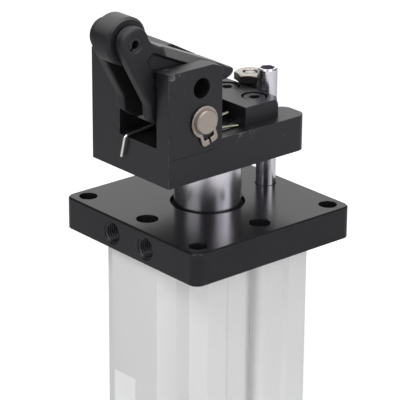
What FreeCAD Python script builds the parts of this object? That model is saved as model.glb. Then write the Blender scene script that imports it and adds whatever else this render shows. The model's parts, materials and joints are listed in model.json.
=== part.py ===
import FreeCAD, Part
import math
import os
import types

import Sketcher

Vector = FreeCAD.Vector

# Driving sizes in millimetres. Heights called _rise are measured from the top of the flange plate.
SIZES = {
    # Flange plate at the rod end
    "plate_side": 120, "plate_thickness": 19.5, "plate_corner_radius": 11,
    "plate_edge_chamfer": 0.9,
    "rod_opening_diameter": 44.5, "corner_hole_diameter": 11, "corner_hole_inset": 10,
    "side_socket_diameter": 13, "side_socket_reach": 45.9, "side_socket_depth": 5,
    "side_screw_hole_diameter": 8.5,
    "port_diameter": 13.2, "port_depth": 14, "port_spread": 30.4, "port_drop": 10,
    "port_chamfer": 0.6, "air_way_diameter": 5,
    # Extruded tube
    "tube_length": 120, "tube_half_width": 56.5, "lobe_half_width": 21.5, "lobe_step": 9,
    "shoulder_half_width": 37, "corner_cut": 8.5, "recess_half_width": 24, "recess_depth": 2.4,
    "groove_width": 6.6, "groove_depth": 8, "groove_lip_radius": 5.5,
    "bore_diameter": 63,
    "cover_thickness": 18, "spigot_height": 23.5, "spigot_wall": 3.4,
    "slip_gap": 0.1, "running_gap": 0.05, "cross_way_end": 22,
    "tie_bolt_spread": 66, "tie_bolt_diameter": 8, "tie_bolt_head_diameter": 13,
    "tie_bolt_head_height": 8, "tie_bolt_head_sink": 1, "tie_bolt_engagement": 12,
    "tie_hole_play": 1,
    # Rod cover, bush and seals
    "rod_cover_length": 30, "rod_bush_wall": 3, "rod_bush_length": 19, "rod_seal_wall": 4.5,
    "rod_seal_length": 6, "wiper_height": 6, "wiper_drop": 3, "ring_section": 2.6,
    "bumper_thickness": 6.5, "rod_bush_inset": 2, "rod_seal_inset": 1,
    # Rod, piston and stroke
    "rod_diameter": 40, "rod_cavity_play": 4, "rod_seat_play": 0.5,
    "rod_top_diameter": 34, "rod_top_length": 15, "rod_tail_diameter": 30,
    "stroke": 25, "piston_length": 32, "piston_gap": 2, "piston_nut_width": 46,
    "piston_nut_thickness": 11, "seal_width": 4, "seal_inset": 4, "seal_depth": 3.4,
    "wear_ring_width": 6, "wear_ring_depth": 2, "magnet_width": 4, "magnet_depth": 4,
    "magnet_drop": 0.3, "piston_land": 2, "rod_tail_proud": 1,
    # Fixed guide post beside the rod
    "post_diameter": 12, "post_rise": 72.8, "post_chamfer": 0.7, "post_foot_depth": 14,
    "post_key_width": 8, "post_key_depth": 9,
    # Lever holder
    "holder_stop_gap": 2.6, "base_thickness": 21.7, "cheek_height": 45.7,
    "holder_front": 52.5, "holder_rear": 53.4, "holder_near": 27, "holder_far": 42.5,
    "cheek_length": 39.5, "window_half_width": 16.6, "holder_corner_radius": 3,
    "holder_rear_radius": 6.5, "slot_mouth_radius": 7,
    "cheek_chamfer_length": 6.5, "cheek_chamfer_drop": 2.6,
    "far_cheek_length": 56.3, "far_chamfer_length": 17.3, "far_chamfer_drop": 9.3,
    "lock_hole_diameter": 12, "lock_hole_x": 28.3, "lock_hole_rise": 82.6,
    # Lever pin and circlips
    "pin_x": 27.2, "pin_rise": 63.1, "pin_diameter": 14.8, "pin_proud": 4.2, "pin_chamfer": 0.7,
    "circlip_gap": 0.4, "circlip_thickness": 1.1, "circlip_groove_depth": 0.6,
    "circlip_outer_diameter": 19.8, "circlip_shift": 0.5, "circlip_lug_radius": 2.6,
    "circlip_lug_spread": 4.4, "circlip_lug_reach": 11.2, "circlip_lug_hole": 1.1,
    "circlip_lug_side": 2.4, "circlip_mouth": 1,
    # Lever and roller
    "outline_unit": 1, "lever_half_width": 15, "arm_thickness": 6.9, "boss_x": 65.8,
    "boss_rise": 112.5, "boss_radius": 9.6, "lever_edge_radius": 1.2, "side_recess_depth": 1.6,
    "hub_radius": 12.5, "lever_bush_wall": 1.8, "spring_pocket_radius": 14.2,
    "spring_pocket_inner": 7,
    "roller_diameter": 27.8, "roller_width": 15.2, "roller_rim_width": 1.3,
    "roller_rim_drop": 1.3, "roller_bush_wall": 2.2, "roller_pin_diameter": 8.6,
    "roller_pin_bore": 5, "roller_pin_slot": 1.4, "roller_pin_inset": 0.5, "pin_hole_play": 0.1,
    # Shock absorber inside the rod
    "absorber_diameter": 26, "absorber_depth": 58, "absorber_cavity_diameter": 18,
    "absorber_floor": 5, "absorber_roof": 8,
    "absorber_ring_diameter": 34, "absorber_ring_thickness": 5, "plunger_diameter": 8,
    "cap_diameter": 10, "cap_height": 6, "cap_rise": 78.1, "plunger_travel": 12.9,
    "plunger_guide": 9.1, "cap_dome": 1.2,
    # Return springs
    "wire_diameter": 1.8, "coil_radius": 10.4, "coil_pitch": 1.7, "hook_drop": 13,
    "coil_turns": 4, "coil_start": 8, "far_leg_y": 9, "near_leg_y": 14, "leg_diameter": 1.7,
    "leg_lip_gap": 1, "spring_contact_x": 1.4, "spring_contact_rise": 78.5, "near_leg_reach": 7,
    "near_leg_splay": 3.8, "near_tip_x": 7.3, "near_tip_rise": 55.5, "leg_floor_gap": 0.1,
    "hook_bend_run": 1.2, "hook_bend_drop": 1.3, "hook_bend_side": 0.4, "hook_fall_side": 0.6,
    "hook_end_side": 3.6,
    # Stop block behind the lever and its screws
    "block_front": 12.1, "block_post_gap": 0.3, "block_near": 19, "block_width": 48,
    "block_height": 10.7, "block_corner_cut": 2.2, "block_bevel_width": 1.6,
    "block_bevel_drop": 4.3, "block_screw_x": 30.4, "block_screw_near": 6, "block_screw_pitch": 24.2,
    "counterbore_diameter": 15.6, "counterbore_depth": 6.4, "screw_head_diameter": 13,
    "screw_head_height": 5.8, "screw_diameter": 8, "screw_key_width": 6, "screw_key_depth": 3.6,
    "screw_engagement": 12, "thread_run_out": 1,
    # Lock stud and nut on the rear lug
    "stud_x": 47.9, "stud_y": 17.4, "stud_diameter": 8.4, "stud_collar_diameter": 14,
    "stud_inset": 1.2, "lock_nut_rise": 65.5, "lock_nut_height": 5, "lock_nut_width": 17,
    "lock_nut_face": 16, "lock_nut_crown_run": 2, "stud_tip_height": 1.2, "lug_reach": 59,
    "lug_half_width": 10, "lug_overlap": 8,
}


# A number that remembers the cell it came from, so that geometry made with it stays tied to the sheet
class Size:
    def __init__(self, value, text):
        self.value = float(value)
        self.text = text

    def __add__(self, other):
        other = as_size(other)
        return Size(self.value + other.value, f"({self.text} + {other.text})")

    def __radd__(self, other):
        return as_size(other) + self

    def __sub__(self, other):
        other = as_size(other)
        return Size(self.value - other.value, f"({self.text} - {other.text})")

    def __rsub__(self, other):
        return as_size(other) - self

    def __mul__(self, factor):
        factor = as_size(factor)
        return Size(self.value * factor.value, f"({self.text} * {factor.text})")

    __rmul__ = __mul__

    def __truediv__(self, other):
        other = as_size(other)
        return Size(self.value / other.value, f"({self.text} / {other.text})")

    def __neg__(self):
        return Size(-self.value, f"(-{self.text})")

    def __float__(self):
        return self.value


def as_size(number):
    return number if isinstance(number, Size) else Size(number, f"({float(number)!r})")


doc = FreeCAD.newDocument("StopperCylinder")
sheet = doc.addObject("Spreadsheet::Sheet", "Sizes")
for row, (alias, number) in enumerate(SIZES.items(), start=1):
    sheet.set(f"A{row}", alias)
    sheet.set(f"B{row}", str(number))
    sheet.setAlias(f"B{row}", alias)
doc.recompute()
size = types.SimpleNamespace(**{alias: Size(number, f"Sizes.{alias}") for alias, number in SIZES.items()})

nodes = {}
FLAT_HEX = math.tan(math.radians(30))

# How far a cutting tool or a fused blank runs past the face that it meets
PAST = 1


# Helpers that make document objects bound to the sheet
def bind(thing, name, number):
    number = as_size(number)
    thing.setExpression(name, number.text)


def put(thing, x=0, y=0, z=0, rotation=None):
    x, y, z = as_size(x), as_size(y), as_size(z)
    rotation = rotation or FreeCAD.Rotation()
    thing.Placement = FreeCAD.Placement(Vector(x.value, y.value, z.value), rotation)
    for name, number in (("x", x), ("y", y), ("z", z)):
        thing.setExpression(f"Placement.Base.{name}", number.text)
    return thing


def add(kind, label):
    thing = doc.addObject(kind, label)
    thing.Label = label
    return thing


def box(label, low, high):
    thing = add("Part::Box", label)
    for name, a, b in zip(("Length", "Width", "Height"), low, high):
        bind(thing, name, as_size(b) - as_size(a))
    return put(thing, *low)


TURN = {"z": FreeCAD.Rotation(), "y": FreeCAD.Rotation(Vector(1, 0, 0), -90),
        "x": FreeCAD.Rotation(Vector(0, 1, 0), 90)}


def cylinder(label, diameter, length, x=0, y=0, z=0, axis="z"):
    thing = add("Part::Cylinder", label)
    bind(thing, "Radius", as_size(diameter) / 2)
    bind(thing, "Height", length)
    return put(thing, x, y, z, TURN[axis])


def cone(label, low_diameter, high_diameter, length, x=0, y=0, z=0, axis="z"):
    thing = add("Part::Cone", label)
    bind(thing, "Radius1", as_size(low_diameter) / 2)
    bind(thing, "Radius2", as_size(high_diameter) / 2)
    bind(thing, "Height", length)
    return put(thing, x, y, z, TURN[axis])


def cut(label, base, *tools):
    thing = add("Part::Cut", label)
    thing.Base = base
    thing.Tool = tools[0] if len(tools) == 1 else together(f"{label}_tools", *tools)
    return thing


def fuse(label, *parts):
    thing = add("Part::MultiFuse", label)
    thing.Shapes = list(parts)
    thing.Refine = True
    return thing


def together(label, *parts):
    thing = add("Part::Compound", label)
    thing.Links = list(parts)
    return thing


def ring(label, outer, inner, length, x=0, y=0, z=0, axis="z"):
    return cut(label, cylinder(f"{label}_outside", outer, length, x, y, z, axis),
               cylinder(f"{label}_inside", inner, length, x, y, z, axis))


# A closed outline of straight edges whose corners are bound to the sheet
def outline(body, role, corners, lift):
    plane = [feature for feature in body.Origin.OriginFeatures if feature.Role == role][0]
    sketch = body.newObject("Sketcher::SketchObject", f"{body.Name}_outline")
    sketch.AttachmentSupport = [(plane, "")]
    sketch.MapMode = "FlatFace"
    bind(sketch, "AttachmentOffset.Base.z", lift)
    corners = [(as_size(a), as_size(b)) for a, b in corners]
    count = len(corners)
    for index, (a, b) in enumerate(corners):
        c, d = corners[(index + 1) % count]
        sketch.addGeometry(Part.LineSegment(Vector(a.value, b.value, 0), Vector(c.value, d.value, 0)), False)
    for index in range(count):
        sketch.addConstraint(Sketcher.Constraint("Coincident", index, 2, (index + 1) % count, 1))
    for index, corner in enumerate(corners):
        for kind, number in zip(("DistanceX", "DistanceY"), corner):
            place = sketch.addConstraint(Sketcher.Constraint(kind, -1, 1, index, 1, number.value))
            sketch.setExpression(f"Constraints[{place}]", number.text)
    return sketch


# A pad runs from lift along +Z on the XY plane, and from y = -lift towards -Y on the XZ plane
def pad(label, role, corners, length, lift=0):
    body = add("PartDesign::Body", label)
    sketch = outline(body, role, corners, lift)
    feature = body.newObject("PartDesign::Pad", f"{label}_pad")
    feature.Profile = sketch
    bind(feature, "Length", length)
    return body


def turned(label, corners):
    body = add("PartDesign::Body", label)
    sketch = outline(body, "XZ_Plane", corners, 0)
    feature = body.newObject("PartDesign::Revolution", f"{label}_turn")
    feature.Profile = sketch
    feature.ReferenceAxis = (sketch, ["V_Axis"])
    feature.Angle = 360
    return body


def hexagon(label, width, length, x=0, y=0, z=0):
    half = as_size(width) / 2
    side = half * FLAT_HEX
    corners = [(half, -side), (half, side), (0, 2 * side), (-half, side), (-half, -side), (0, -2 * side)]
    body = pad(label, "XY_Plane", corners, length)
    return put(body, x, y, z)


# Rounds the edges that the test picks out of the finished shape
def round_edges(label, base, radius, wanted):
    doc.recompute()
    thing = add("Part::Fillet", label)
    thing.Base = base
    picked = [number for number, edge in enumerate(base.Shape.Edges, start=1) if wanted(edge)]
    thing.Edges = [(number, float(radius), float(radius)) for number in picked]
    return thing


def bevel_edges(label, base, across, down, wanted):
    """Bevels the edges that the test picks; across is taken from the first face of each edge."""
    doc.recompute()
    thing = add("Part::Chamfer", label)
    thing.Base = base
    picked = [number for number, edge in enumerate(base.Shape.Edges, start=1) if wanted(edge)]
    thing.Edges = [(number, float(across), float(down)) for number in picked]
    return thing


def level(edge, z, reach=0.01):
    return all(abs(vertex.Z - float(z)) < reach for vertex in edge.Vertexes)


def upright(edge, x, y, reach=0.01):
    low, high = edge.Vertexes[0].Point, edge.Vertexes[-1].Point
    straight = abs(low.x - high.x) < reach and abs(low.y - high.y) < reach
    return straight and abs(low.x - float(x)) < reach and abs(low.y - float(y)) < reach


def keep(node, thing):
    thing.Label = node
    nodes[node] = thing
    return thing


def socket_screw(label, head, head_height, shank, shank_length, key, key_depth, x, y, z, up=True):
    """A socket screw whose head sits on z; up means that the head is above its seat."""
    head_low = z if up else z - head_height
    shank_low = z - shank_length if up else z
    key_low = z + head_height - key_depth if up else z - head_height
    body = fuse(f"{label}_blank", cylinder(f"{label}_head", head, head_height, x, y, head_low),
                cylinder(f"{label}_shank", shank, shank_length, x, y, shank_low))
    return cut(label, body, hexagon(f"{label}_key", key, key_depth, x, y, key_low))


# Heights of the main seats
tube_low = size.cover_thickness
tube_high = tube_low + size.tube_length
plate_top = tube_high + size.plate_thickness
holder_low = plate_top + size.stroke + size.holder_stop_gap
base_top = holder_low + size.base_thickness
cheek_top = base_top + size.cheek_height
pin_z = plate_top + size.pin_rise
pin_x = -size.pin_x


# Extruded outline shared by the tube and the rear cover
def body_outline():
    lobe, step, shoulder = size.lobe_half_width, size.lobe_step, size.shoulder_half_width
    far = size.tube_half_width
    inner = far - step
    corner = inner - size.corner_cut
    side = shoulder + size.corner_cut
    recess, depth = size.recess_half_width, size.recess_depth
    quarter = [(far, lobe), (inner, lobe + step), (inner, shoulder), (corner, side), (recess, side),
               (recess - depth, side - depth)]
    left = [(-x, y) for x, y in reversed(quarter)]
    upper = quarter + left
    return upper + [(-x, -y) for x, y in upper]


body_side = size.shoulder_half_width + size.corner_cut - size.recess_depth
tie_places = [(size.tie_bolt_spread / 2 * a, size.tie_bolt_spread / 2 * b)
              for a, b in ((1, 1), (-1, 1), (-1, -1), (1, -1))]
air_x = -(size.plate_side / 2 - size.port_depth)


def make_rear_cover():
    blank = pad("rear_cover_plate", "XY_Plane", body_outline(), size.cover_thickness)
    spigot = size.bore_diameter - 2 * size.slip_gap
    cup = ring("rear_cover_spigot", spigot, spigot - 2 * size.spigot_wall,
               size.spigot_height + PAST, z=size.cover_thickness - PAST)
    groove = ring("rear_cover_groove", spigot + PAST, spigot - 2 * size.ring_section, size.ring_section,
                  z=size.cover_thickness + size.ring_section)
    tools = [groove]
    for number, (x, y) in enumerate(tie_places):
        tools.append(cylinder(f"cover_hole_{number}", size.tie_bolt_diameter + size.tie_hole_play,
                              size.cover_thickness, x, y, 0))
        tools.append(cylinder(f"cover_counterbore_{number}",
                              size.tie_bolt_head_diameter + size.tie_hole_play,
                              size.tie_bolt_head_height + size.tie_bolt_head_sink, x, y, 0))
    tools.append(cylinder("cover_air_way", size.air_way_diameter, size.spigot_wall * 3,
                          -size.bore_diameter / 2 - PAST, -size.port_spread / 2,
                          size.cover_thickness + size.spigot_height / 2, "x"))
    keep("rear_cover", cut("rear_cover", fuse("rear_cover_blank", blank, cup), *tools))


def make_tube():
    blank = pad("tube_blank", "XY_Plane", body_outline(), size.tube_length, tube_low)
    tools = [cylinder("tube_bore", size.bore_diameter, size.tube_length, z=tube_low)]
    for number, (x, y) in enumerate(tie_places):
        tools.append(cylinder(f"tube_tie_hole_{number}", size.tie_bolt_diameter + size.tie_hole_play,
                              size.tube_length, x, y, tube_low))
    half = size.groove_width / 2
    for side in (-1, 1):
        inner = body_side - size.groove_depth
        outer = body_side + size.recess_depth
        low, high = (inner, outer) if side > 0 else (-outer, -inner)
        tools.append(box(f"sensor_groove_{side}", (-half, low, tube_low), (half, high, tube_high)))
    # One air way serves the front chamber and the other runs down to the rear chamber
    front_y, rear_y = size.port_spread / 2, -size.port_spread / 2
    front_low = tube_high - size.rod_cover_length - size.piston_gap / 2
    rear_low = tube_low + size.spigot_height / 2
    for name, y, low in (("front", front_y, front_low), ("rear", rear_y, rear_low)):
        tools.append(cylinder(f"{name}_way", size.air_way_diameter, tube_high - low, air_x, y, low))
        tools.append(cylinder(f"{name}_cross_way", size.air_way_diameter, -air_x - size.cross_way_end,
                              air_x, y, low, "x"))
    cored = cut("tube_cored", blank, *tools)

    def groove_lip(edge):
        return any(upright(edge, x, y) for x in (-half, half) for y in (-body_side, body_side))

    keep("tube", round_edges("tube", cored, size.groove_lip_radius, groove_lip))


def make_flange_plate():
    half = size.plate_side / 2
    block = box("plate_block", (-half, -half, tube_high), (half, half, plate_top))
    rounded = round_edges("plate_rounded", block, size.plate_corner_radius,
                          lambda edge: any(upright(edge, x, y) for x in (-half, half) for y in (-half, half)))
    edge = size.plate_edge_chamfer
    eased = bevel_edges("plate_eased", rounded, edge, edge, lambda side: level(side, plate_top))
    tools = [cylinder("rod_opening", size.rod_opening_diameter, size.plate_thickness, z=tube_high)]
    hole = half - size.corner_hole_inset
    for number, (a, b) in enumerate(((1, 1), (-1, 1), (-1, -1), (1, -1))):
        tools.append(cylinder(f"corner_hole_{number}", size.corner_hole_diameter, size.plate_thickness,
                              hole * a, hole * b, tube_high))
    reach = size.side_socket_reach
    for number, (x, y) in enumerate(((reach, 0), (0, reach), (-reach, 0), (0, -reach))):
        tools.append(cylinder(f"side_socket_{number}", size.side_socket_diameter, size.side_socket_depth,
                              x, y, plate_top - size.side_socket_depth))
        post = number == 0
        drill = size.post_diameter + 2 * size.running_gap if post else size.side_screw_hole_diameter
        depth = size.post_foot_depth
        tools.append(cylinder(f"side_hole_{number}", drill, depth, x, y, plate_top - depth))
    port_z = plate_top - size.port_drop
    for name, y in (("front", size.port_spread / 2), ("rear", -size.port_spread / 2)):
        tools.append(cylinder(f"{name}_port", size.port_diameter, size.port_depth, -half, y, port_z, "x"))
        mouth = size.port_diameter + 2 * size.port_chamfer
        tools.append(cone(f"{name}_port_chamfer", mouth, size.port_diameter, size.port_chamfer, -half, y,
                          port_z, "x"))
        tools.append(cylinder(f"{name}_port_way", size.air_way_diameter, port_z - tube_high, air_x, y,
                              tube_high))
    thread_play = size.tie_bolt_diameter + 2 * size.running_gap
    for number, (x, y) in enumerate(tie_places):
        tools.append(cylinder(f"plate_tie_thread_{number}", thread_play,
                              size.tie_bolt_engagement + size.thread_run_out, x, y, tube_high))
    keep("flange_plate", cut("flange_plate", eased, *tools))


def make_tie_bolts():
    seat = size.tie_bolt_head_height + size.tie_bolt_head_sink
    length = tube_high + size.tie_bolt_engagement - seat
    bolts = [socket_screw(f"tie_bolt_{number}", size.tie_bolt_head_diameter, size.tie_bolt_head_height,
                          size.tie_bolt_diameter, length, size.screw_key_width, size.screw_key_depth,
                          x, y, seat, up=False)
             for number, (x, y) in enumerate(tie_places)]
    keep("tie_bolts", together("tie_bolts", *bolts))


def make_rod_cover():
    low = tube_high - size.rod_cover_length
    outer = size.bore_diameter - 2 * size.slip_gap
    bush = size.rod_diameter + 2 * size.rod_bush_wall
    seal = size.rod_diameter + 2 * size.rod_seal_wall
    body = cylinder("rod_cover_body", outer, size.rod_cover_length, z=low)
    seal_low = tube_high - size.rod_seal_length - size.rod_seal_inset
    tools = [cylinder("rod_cover_hole", bush, size.rod_cover_length, z=low),
             cylinder("rod_cover_seal_seat", seal, tube_high - seal_low, z=seal_low),
             ring("rod_cover_groove", outer + PAST, outer - 2 * size.ring_section, size.ring_section,
                  z=low + size.rod_cover_length / 2)]
    keep("rod_cover", cut("rod_cover", body, *tools))
    shaft = size.rod_diameter + 2 * size.running_gap
    keep("rod_bush", ring("rod_bush", bush, shaft, size.rod_bush_length,
                          z=low + size.rod_bush_inset))
    keep("rod_seal", ring("rod_seal", seal, shaft, size.rod_seal_length, z=seal_low))
    wiper_low = plate_top - size.wiper_drop - size.wiper_height
    keep("rod_wiper", ring("rod_wiper", size.rod_opening_diameter, shaft, size.wiper_height, z=wiper_low))
    section, spigot = size.ring_section, size.bore_diameter - 2 * size.slip_gap
    rings = [ring(f"cover_o_ring_{name}", spigot, spigot - 2 * section, section, z=z)
             for name, z in (("rear", size.cover_thickness + section),
                             ("front", low + size.rod_cover_length / 2))]
    keep("cover_o_rings", together("cover_o_rings", *rings))
    keep("rear_bumper", ring("rear_bumper", spigot, spigot - 2 * size.spigot_wall, size.bumper_thickness,
                             z=size.cover_thickness + size.spigot_height))


def make_guide_post():
    reach = size.side_socket_reach
    top = plate_top + size.post_rise
    low = plate_top - size.post_foot_depth
    ease = size.post_chamfer
    stem = fuse("post_blank", cylinder("post_stem", size.post_diameter, top - low - ease, reach, 0, low),
                cone("post_top", size.post_diameter, size.post_diameter - 2 * ease, ease, reach, 0,
                     top - ease))
    key = hexagon("post_key", size.post_key_width, size.post_key_depth, reach, 0, top - size.post_key_depth)
    keep("guide_post", cut("guide_post", stem, key))


def make_rod_and_piston():
    radius, cavity = size.rod_diameter / 2, size.absorber_diameter / 2 + size.slip_gap
    tail, top = size.rod_tail_diameter / 2, size.rod_top_diameter / 2
    piston_high = tube_high - size.rod_cover_length - size.piston_gap
    piston_low = piston_high - size.piston_length
    tail_low = piston_low - size.piston_nut_thickness - size.rod_tail_proud
    floor = holder_low - size.absorber_depth - size.rod_cavity_play
    crown = holder_low + size.rod_top_length
    keep("piston_rod", turned("piston_rod", [
        (0, tail_low), (tail, tail_low), (tail, piston_high), (radius, piston_high), (radius, holder_low),
        (top, holder_low), (top, crown), (cavity, crown), (cavity, floor), (0, floor)]))
    face = size.bore_diameter / 2 - size.slip_gap
    seat = tail + size.running_gap
    inset, seal = size.seal_inset, size.seal_width
    # Grooves from the bottom up: seal, wear ring, magnet, seal
    spans = [(piston_low + inset, seal, size.seal_depth)]
    wear_low = piston_low + inset + seal + size.piston_land
    spans.append((wear_low, size.wear_ring_width, size.wear_ring_depth))
    magnet_low = wear_low + size.wear_ring_width + size.piston_land
    spans.append((magnet_low, size.magnet_width, size.magnet_depth))
    upper_low = piston_high - inset - seal
    spans.append((upper_low, seal, size.seal_depth))
    corners = [(seat, piston_low), (face, piston_low)]
    for low, width, depth in spans:
        corners += [(face, low), (face - depth, low), (face - depth, low + width), (face, low + width)]
    corners += [(face, piston_high), (seat, piston_high)]
    keep("piston", turned("piston", corners))
    lip = size.bore_diameter - 2 * size.running_gap
    inner = 2 * (face - size.seal_depth)
    keep("piston_seals", together("piston_seals",
                                  ring("piston_seal_low", lip, inner, seal, z=spans[0][0]),
                                  ring("piston_seal_high", lip, inner, seal, z=spans[3][0])))
    keep("wear_ring", ring("wear_ring", lip, 2 * (face - size.wear_ring_depth), size.wear_ring_width,
                           z=wear_low))
    keep("magnet_ring", ring("magnet_ring", 2 * (face - size.magnet_drop),
                             2 * (face - size.magnet_depth), size.magnet_width, z=magnet_low))
    nut_low = piston_low - size.piston_nut_thickness
    nut = hexagon("piston_nut_hex", size.piston_nut_width, size.piston_nut_thickness, 0, 0, nut_low)
    keep("piston_nut", cut("piston_nut", nut, cylinder("piston_nut_thread", 2 * seat,
                                                      size.piston_nut_thickness, z=nut_low)))


def make_lever_holder():
    front, rear = -size.holder_front, size.holder_rear
    near, far = -size.holder_near, size.holder_far
    window = size.window_half_width
    base = box("holder_base", (front, near, holder_low), (rear, far, base_top))

    def cheek(label, length, slope, drop, width, lift):
        back = front + length
        profile = [(front, holder_low), (back, holder_low), (back, cheek_top - drop),
                   (back - slope, cheek_top), (front, cheek_top)]
        return pad(label, "XZ_Plane", profile, width, lift)

    near_cheek = cheek("near_cheek", size.cheek_length, size.cheek_chamfer_length,
                       size.cheek_chamfer_drop, size.holder_near - window, window)
    far_cheek = cheek("far_cheek", size.far_cheek_length, size.far_chamfer_length,
                      size.far_chamfer_drop, size.holder_far - window, -size.holder_far)
    lug_y = size.stud_y
    lug = box("holder_lug", (rear - size.lug_overlap, lug_y - size.lug_half_width, holder_low),
              (size.lug_reach, lug_y + size.lug_half_width, base_top))
    blank = fuse("holder_blank", base, near_cheek, far_cheek, lug)
    rounded = round_edges("holder_rounded", blank, size.holder_corner_radius,
                          lambda edge: upright(edge, front, far))
    rounded = round_edges("holder_rear_rounded", rounded, size.holder_rear_radius,
                          lambda edge: any(upright(edge, rear, y) for y in (near, far)))
    post_gap = size.post_diameter + 4 * size.running_gap
    reach = size.side_socket_reach
    slotted = cut("holder_slotted", rounded,
                  cylinder("post_slot_end", post_gap, size.base_thickness, reach, 0, holder_low),
                  box("post_slot", (reach, -post_gap / 2, holder_low),
                      (rear + PAST, post_gap / 2, base_top)))
    rounded = round_edges("slot_mouth_rounded", slotted, size.slot_mouth_radius,
                          lambda edge: upright(edge, rear, -post_gap / 2))
    socket = size.rod_top_length + size.rod_seat_play
    tools = [
        cylinder("rod_seat", size.rod_top_diameter + 2 * size.running_gap, socket, z=holder_low),
        cylinder("absorber_hole", size.absorber_diameter + 2 * size.slip_gap, size.base_thickness,
                 z=holder_low),
        cylinder("lock_ring_seat", size.absorber_ring_diameter + 2 * size.slip_gap,
                 size.absorber_ring_thickness, z=base_top - size.absorber_ring_thickness),
        cylinder("pin_hole", size.pin_diameter + 2 * size.running_gap, far - near + 2 * PAST, pin_x,
                 near - PAST, pin_z, "y"),
        cylinder("lock_hole", size.lock_hole_diameter, size.holder_near - window + PAST,
                 -size.lock_hole_x, near - PAST, plate_top + size.lock_hole_rise, "y"),
        cylinder("stud_thread", size.stud_diameter + 2 * size.running_gap, size.screw_engagement,
                 size.stud_x, size.stud_y, base_top - size.screw_engagement)]
    for number in range(2):
        y = -size.block_screw_near + size.block_screw_pitch * number
        depth = size.screw_engagement + size.thread_run_out
        tools.append(cylinder(f"block_thread_{number}", size.screw_diameter + 2 * size.running_gap,
                              depth, size.block_screw_x, y, base_top - depth))
    keep("lever_holder", cut("lever_holder", rounded, *tools))


def make_stop_block():
    front, near = size.block_front, -size.block_near
    rear = size.side_socket_reach - size.post_diameter / 2 - size.block_post_gap
    far = near + size.block_width
    cut_back = size.block_corner_cut
    corners = [(front, near), (rear - cut_back, near), (rear, near + cut_back), (rear, far), (front, far)]
    blank = pad("stop_block_blank", "XY_Plane", corners, size.block_height, base_top)
    top = base_top + size.block_height
    middle = (rear - cut_back / 2, near + cut_back / 2)

    def corner_top(edge):
        centre = edge.CenterOfMass
        beside = abs(centre.x - float(middle[0])) < 0.01 and abs(centre.y - float(middle[1])) < 0.01
        return beside and level(edge, top)

    blank = bevel_edges("stop_block_eased", blank, size.block_bevel_drop, size.block_bevel_width,
                        corner_top)
    seat = top - size.counterbore_depth
    tools, screws = [], []
    for number in range(2):
        y = -size.block_screw_near + size.block_screw_pitch * number
        tools.append(cylinder(f"block_counterbore_{number}", size.counterbore_diameter,
                              size.counterbore_depth, size.block_screw_x, y, seat))
        tools.append(cylinder(f"block_hole_{number}", size.screw_diameter + size.tie_hole_play,
                              size.block_height, size.block_screw_x, y, base_top))
        screws.append(socket_screw(f"block_screw_{number}", size.screw_head_diameter,
                                   size.screw_head_height, size.screw_diameter,
                                   seat - base_top + size.screw_engagement, size.screw_key_width,
                                   size.screw_key_depth, size.block_screw_x, y, seat))
    keep("stop_block", cut("stop_block", blank, *tools))
    keep("stop_block_screws", together("stop_block_screws", *screws))


def make_lock_stud():
    nut_low = plate_top + size.lock_nut_rise - size.lock_nut_height
    x, y = size.stud_x, size.stud_y
    stem_low = base_top - size.screw_engagement
    tip_height = size.stud_tip_height
    stem_high = nut_low + size.lock_nut_height - size.stud_inset - tip_height
    stem = cylinder("stud_stem", size.stud_diameter, stem_high - stem_low, x, y, stem_low)
    tip = cone("stud_tip", size.stud_diameter, size.stud_diameter / 2, tip_height, x, y, stem_high)
    collar = cylinder("stud_collar", size.stud_collar_diameter, nut_low - base_top, x, y, base_top)
    keep("lock_stud", fuse("lock_stud", stem, tip, collar))
    hex_body = hexagon("lock_nut_hex", size.lock_nut_width, size.lock_nut_height, x, y, nut_low)
    face, high = size.lock_nut_face, size.lock_nut_height
    crown = cone("lock_nut_crown", face + 2 * high * size.lock_nut_crown_run, face, high, x, y, nut_low)
    nut = add("Part::MultiCommon", "lock_nut_blank")
    nut.Shapes = [hex_body, crown]
    thread = cylinder("lock_nut_thread", size.stud_diameter + 2 * size.running_gap, size.lock_nut_height,
                      x, y, nut_low)
    keep("lock_nut", cut("lock_nut", nut, thread))


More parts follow.
